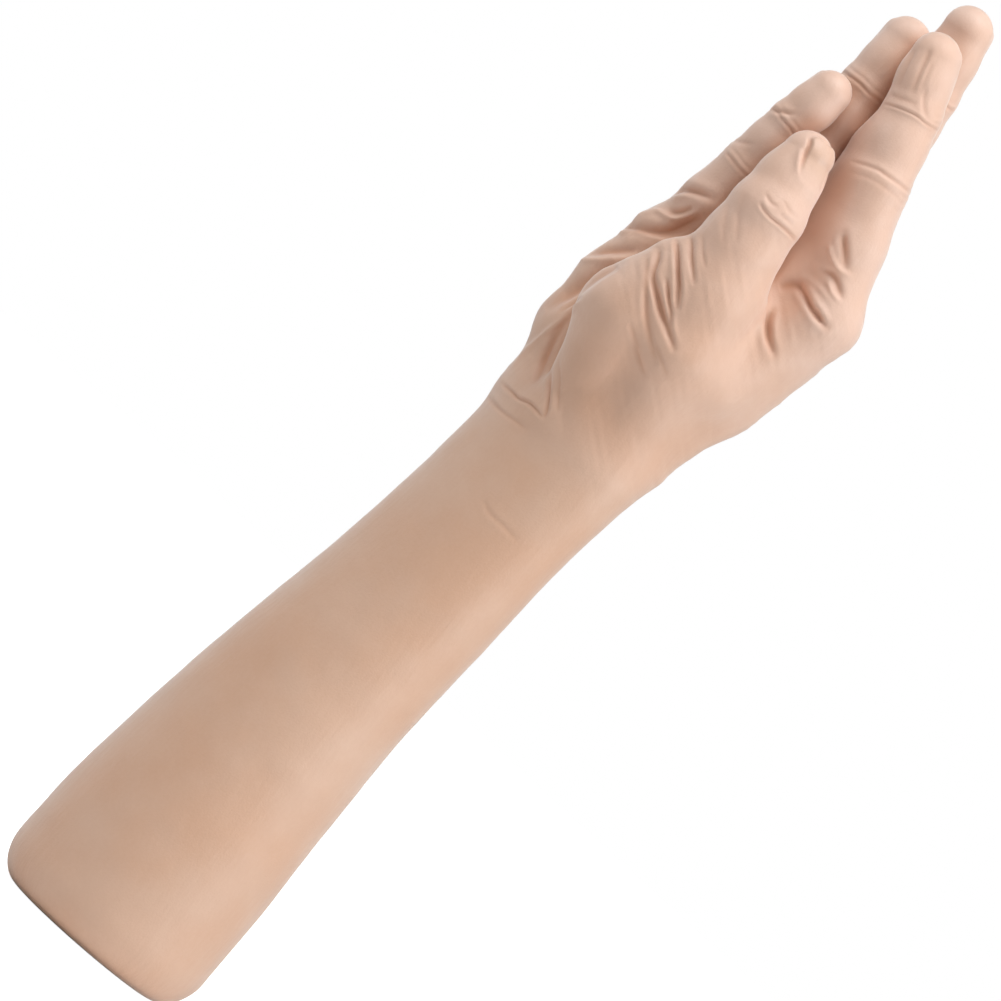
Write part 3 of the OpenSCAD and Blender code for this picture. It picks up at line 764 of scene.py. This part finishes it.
def largest_sheet(faces, count):
    """Which faces belong to the largest connected sheet: each vertex takes the lowest number found in its
    faces, again and again, until nothing changes."""
    labels = np.arange(count)
    while True:
        low = labels[faces].min(1)
        lower = labels.copy()
        for k in range(4):
            np.minimum.at(lower, faces[:, k], low)
        lower = lower[lower]
        if (lower == labels).all():
            break
        labels = lower
    sheet = labels[faces[:, 0]]
    numbers, sizes = np.unique(sheet, return_counts=True)
    return sheet == numbers[sizes.argmax()]


def piece(name, verts, quads, normals, shades, keep, centres):
    """Cuts the kept faces out as one piece. Each open edge gets a lip that goes LIP mm straight in, and the
    lip is closed with a fan to the nearest of the given centres, which lie deep inside."""
    faces = quads[keep]
    faces = faces[largest_sheet(faces, len(verts))]
    edges = np.concatenate([faces[:, [k, (k + 1) % 4]] for k in range(4)])
    key = np.sort(edges, 1)
    _, index, count = np.unique(key, axis=0, return_index=True, return_counts=True)
    rim = edges[index[count == 1]]
    used, compact = np.unique(faces, return_inverse=True)
    remap = np.full(len(verts), -1)
    remap[used] = np.arange(len(used))
    on_rim = np.unique(rim)
    lip = np.full(len(verts), -1)
    lip[on_rim] = len(used) + np.arange(len(on_rim))
    centres = np.array(centres)
    mid = verts[rim].mean(1)
    nearest = np.linalg.norm(mid[:, None] - centres[None], axis=2).argmin(1) + len(used) + len(on_rim)
    first, second = rim[:, 0], rim[:, 1]
    walls = np.stack([remap[second], remap[first], lip[first], lip[second]], -1)
    fan = np.stack([lip[second], lip[first], nearest], -1)
    points = np.concatenate([verts[used], verts[on_rim] - normals[on_rim] * LIP, centres])
    spare = len(on_rim) + len(centres)
    all_normals = np.concatenate([normals[used], np.tile([0.0, 0.0, 1.0], (spare, 1))])
    masks = {k: np.concatenate([v[used], np.zeros(spare)]) for k, v in shades.items()}
    body = compact.reshape(-1, 4).tolist() + walls.tolist() + fan.tolist()
    return make_object(name, points, body, all_normals, masks, len(walls) + len(fan))


def tuck(verts, normals, depth_below):
    """The overlapped border of a piece sinks under its neighbour, by TUCK at the overlap's end."""
    return verts - normals * (TUCK * ease(0.0, OVERLAP, depth_below))[:, None]


PALM_TOP = 330.0    # above every knuckle cut


def palm_pieces():
    """The wrist and the palm, cut from one surface that has every digit on it."""
    low, high = (*BOX_LOW, WRIST_LOW - 5), (*BOX_HIGH, PALM_TOP)
    verts, quads = build_skin(tuple(DIGITS), low, high, STEP)
    mid = verts[quads].mean(1)
    outside = np.stack([digit_field(mid, d) for d in HAND.values()], -1)
    nearest, near = outside.argmin(1), outside.min(1) < OWN
    keep = mid[:, 2] > WRIST_LOW - OVERLAP
    for k, (name, d) in enumerate(HAND.items()):
        keep &= ~((nearest == k) & near & (along_digit(mid, d) > KNUCKLE_CUT[name]))
    verts, normals, shades = finished(verts, quads, tuple(DIGITS))
    verts = tuck(verts, normals, WRIST_LOW - verts[:, 2])
    wrist = keep & (mid[:, 2] < WRIST_HIGH)
    _, _, cx, cy = arm_section(np.array([WRIST_LOW]))
    low_centre = np.array([cx[0], cy[0], WRIST_LOW])
    high_centre = at(12, 4, WRIST_HIGH)
    tops = [on_digit(HAND[n], KNUCKLE_CUT[n] - 3) for n in DIGITS]
    a = piece("wrist_skin", verts, quads, normals, shades, wrist, [low_centre, high_centre])
    b = piece("palm_skin", verts, quads, normals, shades, keep & ~wrist, [high_centre] + tops)
    return a, b


def digit_pieces(name):
    """The base and the tip of one digit, cut from one surface grown out of the palm."""
    d = HAND[name]
    low, high = d.joints.min(0) - DIGIT_ROOM, d.joints.max(0) + DIGIT_ROOM
    verts, quads = build_skin((name,), low, high, STEP * 0.9)
    mid = verts[quads].mean(1)
    # nothing of the palm that the box also holds
    keep = (along_digit(mid, d) > KNUCKLE_CUT[name] - OVERLAP) & (digit_field(mid, d) < OWN + OVERLAP)
    if name == "index":
        # what lies inside the thumb's flesh is left out, so that nothing spans the hollow between the two
        keep &= melt(palm_field(mid), digit_field(mid, HAND["thumb"]), JOIN) > -0.5
    under = np.maximum(KNUCKLE_CUT[name] - along_digit(verts, d), digit_field(verts, d) - OWN)
    verts, normals, shades = finished(verts, quads, (name,))
    verts = tuck(verts, normals, under)
    base = keep & (along_digit(mid, d) < MIDDLE_CUT[name])
    low_centre = on_digit(d, KNUCKLE_CUT[name] + 2)
    high_centre = on_digit(d, MIDDLE_CUT[name])
    a = piece(name + "_knuckle_skin", verts, quads, normals, shades, base, [low_centre, high_centre])
    b = piece(name + "_tip_skin", verts, quads, normals, shades, keep & ~base, [high_centre])
    return a, b


def forearm_piece():
    """The forearm's skin with its turned hem: rings of ellipses from the wrist border down the outside,
    round the foot to the socket's mouth, and up the inside."""
    around, drop = ((236, -0.9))
    wall, mouth = 2.3, 27.85
    # each ring: height, how far it is drawn in, and its share of the way to the round mouth
    rows = [(z, 0.0, 0.0) for z in np.arange(WRIST_LOW, FOOT_RISE, drop)]
    rows += [(FOOT_RISE * (1 - math.sin(a)), FOOT_ROUND * (1 - math.cos(a)), 0.0)
             for a in np.radians(np.linspace(0, 90, 16))]
    outer = len(rows)
    rows += [(0.0, FOOT_ROUND, 0.6), (0.0, FOOT_ROUND, 0.94), (0.25, FOOT_ROUND, 1.0), (8.2, FOOT_ROUND, 1.0),
             (8.6, wall, 0.3), (9.6, wall, 0.0)]
    rows += [(z, wall, 0.0) for z in np.linspace(16, WRIST_LOW, 16)]
    rows = np.array(rows)
    z, inset, share = (rows[:, column][:, None] + np.zeros(around) for column in range(3))
    angle = np.linspace(0, 2 * np.pi, around, endpoint=False)[None, :]
    a, b, cx, cy = arm_section(z)
    a, b = a - FOOT_WIDER * inset, b - inset
    x = (1 - share) * (cx + a * np.cos(angle)) + share * mouth * np.cos(angle)
    y = (1 - share) * (cy + b * np.sin(angle)) + share * mouth * np.sin(angle)
    verts = np.stack([x, y, z], -1).reshape(-1, 3)
    k = np.arange(around)
    n = (k + 1) % around
    i = np.arange(len(rows))[:, None] * around
    j = np.roll(np.arange(len(rows)), -1)[:, None] * around
    quads = np.stack([(i + k), (j + k), (j + n), (i + n)], -1).reshape(-1, 4)

    def rim_eased():
        """The normals, with the first ring's taken from the second, where the wrist's skin runs on."""
        normals = vertex_normals(verts, quads)
        normals[:around] = normals[around:2 * around]
        return normals

    normals = rim_eased()
    height, shade, nail = relief(verts, normals, ())
    live = np.repeat(np.arange(len(rows)) < outer - 1, around) * ease(0.5, 4.0, verts[:, 2])
    verts = verts + normals * (height * live)[:, None]
    # fold carries painted shade in the grooves; the forearm gets no painted shade in hollows or spots
    return make_object("forearm_skin", verts, quads.tolist(), rim_eased(),
                       {"fold": shade * live, "nail": nail, "hollow": 0 * nail, "deeper": 0 * nail})


FOAM_INSET, FOAM_STEP = 2.1, 2.0    # how far the foam stays inside the skin, and its lattice step
FOAM_LOW, FOAM_TOP = 224.0, 315.0    # the palm foam lies between these heights
TIP_ROOM = 14.0    # room round a digit's joints that holds its foam


def hollowed(field, p, d, i):
    """The field with a round hollow at joint i of a digit, where the link inside turns."""
    return np.maximum(field, d.radii[i] + 1.0 - np.linalg.norm(p - d.joints[i], axis=1))


def palm_core(p):
    """The foam that fills the palm: the palm's own form drawn in, and cut level above the wrist."""
    field = np.maximum(palm_field(p) + FOAM_INSET, FOAM_LOW - p[:, 2])
    for d in HAND.values():
        field = hollowed(field, p, d, 0)
    return field


def tip_core(d):
    """The foam of a digit beyond its middle joint: the digit's own form drawn in, cut across at the joint."""
    def field(p):
        across_joint = -along_digit(p, d, 1)
        return hollowed(np.maximum(digit_field(p, d) + FOAM_INSET, across_joint), p, d, 1)
    return field


def foam_piece(node, field, low, high, body):
    """One foam core, riding on its body in place of the plain node."""
    verts, quads = lattice_skin(field, low, high, FOAM_STEP)
    core = make_object(node + "_core", settle(field, verts, 1), quads.tolist())
    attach(core, body)
    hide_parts(node)
    return core


forearm_skin = forearm_piece()
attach(forearm_skin, "forearm")
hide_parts("forearm_glove")

wrist_skin, palm_skin = palm_pieces()
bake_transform(wrist_skin)
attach(palm_skin, "hand")
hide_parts("palm_glove")

skins = [forearm_skin, wrist_skin, palm_skin]
cores = [foam_piece("palm_foam", palm_core, (*BOX_LOW, FOAM_LOW - 4), (*BOX_HIGH, FOAM_TOP), "hand")]
for digit_name, digit in HAND.items():
    knuckle_skin, tip_skin = digit_pieces(digit_name)
    digit_name + "_base"
    tuple(on_digit(digit, KNUCKLE_CUT[digit_name]) * MM)
    tuple(on_digit(digit, KNUCKLE_TURNED) * MM)
    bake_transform(knuckle_skin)
    digit_name + "_base"
    digit_name + "_tip"
    tuple(on_digit(digit, MIDDLE_STILL, 1) * MM)
    tuple(on_digit(digit, MIDDLE_TURNED, 1) * MM)
    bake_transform(tip_skin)
    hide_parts(digit_name + "_glove_base")
    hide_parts(digit_name + "_glove_tip")
    skins += [knuckle_skin, tip_skin]
    cores.append(foam_piece(digit_name + "_foam_tip", tip_core(digit), digit.joints.min(0) - TIP_ROOM,
                            digit.joints.max(0) + TIP_ROOM, digit_name + "_tip"))

# ---------- materials ----------


class Value:
    """A node socket that can be reckoned with: each operator adds the Math node that does it."""

    def __init__(self, nodes, socket):
        self.nodes, self.socket = nodes, socket

    def math(self, operation, first, second):
        return self.nodes.node("ShaderNodeMath", {"operation": operation}, {0: first, 1: second})

    def __add__(self, other):
        return self.math("ADD", self, other)

    __radd__ = __add__

    def __mul__(self, other):
        return self.math("MULTIPLY", self, other)

    __rmul__ = __mul__

    def __sub__(self, other):
        return self.math("SUBTRACT", self, other)

    def __rsub__(self, other):
        return self.math("SUBTRACT", other, self)

    def larger(self, other):
        return self.math("MAXIMUM", self, other)


class Nodes:
    """A node tree being made, with one method that adds any node."""

    def __init__(self, tree):
        self.tree = tree

    def node(self, kind, settings, inputs, output=0):
        """Adds a node: its settings first, then its sockets' values or links. Gives the named output."""
        made = self.tree.nodes.new(kind)
        for key, value in settings.items():
            if key == "stops":
                ramp = made.color_ramp
                while len(ramp.elements) < len(value):
                    ramp.elements.new(0.5)
                for element, (position, colour) in zip(ramp.elements, value):
                    element.position, element.color = position, (*colour, 1)
            else:
                setattr(made, key, value)
        for key, value in inputs.items():
            if isinstance(value, Value):
                self.tree.links.new(value.socket, made.inputs[key])
            else:
                made.inputs[key].default_value = value
        return Value(self, made.outputs[output]) if made.outputs else None


class Finish(Nodes):
    """A material being made on the object's own places."""

    def __init__(self, name):
        self.material = bpy.data.materials.new(name)
        self.material.use_nodes = True
        super().__init__(self.material.node_tree)
        self.shader = self.tree.nodes["Principled BSDF"]
        self.place = self.node("ShaderNodeTexCoord", {}, {}, "Object")

    def mix(self, share, a, b):
        """Colour a turned toward colour b by share."""
        return self.node("ShaderNodeMix", {"data_type": "RGBA"}, {0: share, 6: a, 7: b}, 2)

    def mask(self, name):
        """One of the mesh's own masks, from 0 to 1."""
        return self.node("ShaderNodeAttribute", {"attribute_name": name}, {}, "Fac")

    def noise(self, scale, detail=2.0, rough=0.5, place=None):
        """Soft noise from 0 to 1, scale of its lumps to a metre."""
        return self.node("ShaderNodeTexNoise", {}, {"Vector": place or self.place, "Scale": scale,
                                                    "Detail": detail, "Roughness": rough})

    def stretched(self, scale, turn=(0, 0, 0)):
        """The object's places turned and scaled, so that a noise on them has a grain."""
        return self.node("ShaderNodeMapping", {}, {"Vector": self.place, "Rotation": turn, "Scale": scale})

    def bump(self, height, distance, strength, under=None):
        """A fine surface: height times distance in metres, laid over the one under it."""
        inputs = {"Height": height, "Distance": distance, "Strength": strength}
        if under is not None:
            inputs["Normal"] = under
        return self.node("ShaderNodeBump", {}, inputs)

    def feed(self, **sockets):
        """Sets or links the shader's own sockets, named with _ for a space."""
        for key, value in sockets.items():
            socket = self.shader.inputs[key.replace("_", " ")]
            if isinstance(value, Value):
                self.tree.links.new(value.socket, socket)
            else:
                socket.default_value = value
        return self.material


def tint(text):
    """A colour written as six hex digits, as linear numbers with full alpha."""
    parts = [int(text[i:i + 2], 16) / 255 for i in (0, 2, 4)]
    return tuple(c / 12.92 if c <= 0.04045 else ((c + 0.055) / 1.055) ** 2.4 for c in parts) + (1.0,)


def glove_skin():
    """Soft matt skin-coloured plastic: slow blotches and fine flecks, paler toward the fingertips as painted
    light, painted shade in hollows, gaps, grooves and spots, a nail that is a little cooler, pores and fine
    slanting lines."""
    f = Finish("glove_pvc_skin")
    blotch = f.noise(26.0, 3.0, 0.55)
    fleck = f.noise(210.0, 3.0, 0.6)
    speck = f.noise(900.0, 2.0, 0.5)
    patches = f.node("ShaderNodeValToRGB", {"stops": [(0.38, (0, 0, 0)), (0.62, (1, 1, 1))]}, {"Fac": blotch})
    # painted light: the skin turns paler up toward the fingertips, where the light falls brighter on the digits
    height = f.node("ShaderNodeSeparateXYZ", {}, {"Vector": f.place}, 2)
    painted_light_toward_tips = f.node("ShaderNodeMapRange", {}, {"Value": height, "From Min": 0.2, "From Max": 0.31})
    base = f.mix(painted_light_toward_tips, f.mix(patches, tint("D6AC8F"), tint("DAB69D")),
                 f.mix(patches, tint("E6C0AA"), tint("EACAB9")))
    base = f.mix(fleck * 0.3, base, tint("CFA084"))
    base = f.mix(speck * 0.16, base, tint("EBCDB9"))
    # painted shade: darker spots on the thumb mass and wrist and in the gaps between the digits
    base = f.mix(f.mask("deeper") * 0.45, base, tint("BC8D6E"))
    # painted shade: warmer, darker colour in hollows and gaps, where shade falls
    base = f.mix(f.mask("hollow") * 0.35, base, tint("CB9470"))
    # painted shade in the grooves of folds, joint lines and nail sides
    base = f.mix(f.mask("fold") * 0.6, base, tint("BC7F5B"))
    nail = f.mask("nail")
    base = f.mix(nail * 0.5, base, tint("D3AD93"))
    pores = f.noise(1500.0, 2.0, 0.6)
    lines = f.noise(520.0, 2.0, 0.5, f.stretched((1.0, 1.0, 0.22), (0.0, math.radians(48), math.radians(42))))
    normal = f.bump(pores, 0.00014, 0.5)
    normal = f.bump(lines, 0.00030, 0.5, normal)
    return f.feed(Base_Color=base, Roughness=0.43 + fleck * 0.12 - nail * 0.1, Normal=normal,
                  Subsurface_Weight=0.0, Specular_IOR_Level=0.5, Sheen_Weight=0.5, Sheen_Roughness=0.4)


SKIN = glove_skin()
for obj in skins:
    obj.data.materials.append(SKIN)


def plain_finish(name, colour, other, roughness, metallic=0.0, scale=90.0, stretch=(1, 1, 1),
                 depth=0.0001):
    """An inner material: two close tints mixed by a noise, with a fine surface."""
    f = Finish(name)
    grain = f.noise(scale, 3.0, 0.6, f.stretched(stretch))
    base = f.mix(grain, tint(colour), tint(other))
    return f.feed(Base_Color=base, Roughness=roughness + grain * 0.12, Metallic=metallic,
                  Normal=f.bump(f.noise(scale * 8, 2.0), depth, 0.4))


INNER = {
    "foam": plain_finish("foam_cells", "E6D9A8", "D8C48C", 0.8, scale=400.0, depth=0.0004),
    "laminate": plain_finish("laminate_shell", "C49E80", "B58C6C", 0.3),
    "liner_plastic": plain_finish("liner_sheet", "D5DADF", "C4CBD2", 0.35),
    "aluminium": plain_finish("turned_aluminium", "C9CBCE", "B4B7BB", 0.3, 1.0, 300.0, (1, 1, 12)),
    "steel": plain_finish("ground_steel", "9C9EA2", "86888C", 0.28, 1.0, 400.0, (1, 1, 10)),
    "nylon": plain_finish("natural_nylon", "EAE6DA", "DDD8C8", 0.45),
}
for core in cores:
    core.data.materials.append(INNER["foam"])
for row in frame["record"]["subparts"]:
    material = INNER.get(row["material_slot"], SKIN)
    node = frame["nodes"][row["node"]]
    if not node.material_slots:
        node.data.materials.append(material)
    for slot in node.material_slots:
        slot.material = material

# ---------- camera, floor and light ----------

AIM = Vector(at(8.6, 0, 190.1) * MM)
DISTANCE, SPAN, SENSOR = 2.4, 0.3144, 36    # camera to aim and width of the view there, metres; sensor, mm
LAMP_AIM = Vector((0.009, 0.0, 0.22))
FLOOR_HALF, FLOOR_LEVEL = 4, -0.0002

# the picture's own axes: out toward the viewer, and up and right turned so that the arm leans to the right
OUT = Vector(TOWARD)
ROLLED = Matrix.Rotation(math.radians(41), 3, OUT)
UP, RIGHT = ROLLED @ Vector((0, 0, 1)), ROLLED @ Vector((0, 0, 1)).cross(OUT)


def make_camera():
    """A long lens, level, on the viewer's bearing, turned about its own line."""
    data = bpy.data.cameras.new("viewer")
    data.sensor_width = SENSOR
    data.lens = SENSOR * DISTANCE / SPAN
    camera = bpy.data.objects.new("viewer", data)
    turned = Matrix((RIGHT, UP, OUT)).transposed().to_4x4()
    camera.matrix_world = Matrix.Translation(AIM + OUT * DISTANCE) @ turned
    bpy.context.scene.collection.objects.link(camera)
    bpy.context.scene.camera = camera


def soft_lamp(name, right, up, out, size, power):
    """A round soft lamp aimed at the hand. Its place is right, up and out from the aim of the camera, in
    the picture's own axes and in metres."""
    data = bpy.data.lights.new(name, "AREA")
    data.shape, data.size, data.energy = "DISK", size, power
    lamp = bpy.data.objects.new(name, data)
    lamp.location = AIM + RIGHT * right + UP * up + OUT * out
    lamp.rotation_euler = (LAMP_AIM - lamp.location).to_track_quat("-Z", "Y").to_euler()
    bpy.context.scene.collection.objects.link(lamp)


def make_floor():
    """A white floor that shows as plain white to the eye and keeps the object's shadow."""
    mesh = bpy.data.meshes.new("floor")
    corners = [(x * FLOOR_HALF, y * FLOOR_HALF, FLOOR_LEVEL) for x, y in ((-1, -1), (1, -1), (1, 1), (-1, 1))]
    mesh.from_pydata(corners, [], [(0, 1, 2, 3)])
    floor = bpy.data.objects.new("floor", mesh)
    bpy.context.scene.collection.objects.link(floor)
    f = Finish("white_floor")
    glow = f.node("ShaderNodeLightPath", {}, {}, "Is Camera Ray") * 0.95
    mesh.materials.append(f.feed(Base_Color=(0.9, 0.9, 0.9, 1), Roughness=0.9, Emission_Color=glow,
                                 Emission_Strength=1.0, Specular_IOR_Level=0.0))
    floor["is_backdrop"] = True


def make_world():
    """Even soft light, and plain white where the eye, a reflection or a clear piece looks past the object."""
    world = bpy.data.worlds.new("studio")
    bpy.context.scene.world = world
    world.use_nodes = True
    world.node_tree.nodes.clear()
    w = Nodes(world.node_tree)
    camera_ray, glossy_ray, clear_ray = (
        w.node("ShaderNodeLightPath", {}, {}, ray)
        for ray in ("Is Camera Ray", "Is Glossy Ray", "Is Transmission Ray"))
    seen_by = camera_ray.larger(glossy_ray).larger(clear_ray)
    fill = w.node("ShaderNodeBackground", {}, {"Strength": 0.2})
    white = w.node("ShaderNodeBackground", {}, {"Strength": 1.0, "Color": (1, 1, 1, 1)})
    w.node("ShaderNodeOutputWorld", {}, {0: w.node("ShaderNodeMixShader", {}, {0: seen_by, 1: fill, 2: white})})


make_camera()
make_floor()
make_world()
for lamp_row in (
        ("upper_right", 0.9, 1.0, 0.5, 1.0, 12.4),
        ("lower_right", 1.1, -0.7, 0.5, 1.0, 9.4),
        ("right", 1.4, 0.25, 0.2, 0.9, 2.3),
        ("top", 0.1, 1.4, 0.3, 1.0, 5.2),
        ("behind_left", -1.1, 0.2, -0.6, 1.0, 16.0)):
    soft_lamp(*lamp_row)
bpy.context.scene.view_settings.view_transform = "Standard"

boxes = {"cad": CAD_BOX, "visual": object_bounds()}
{key: [list(map(float, corner)) for corner in box] for key, box in boxes.items()}
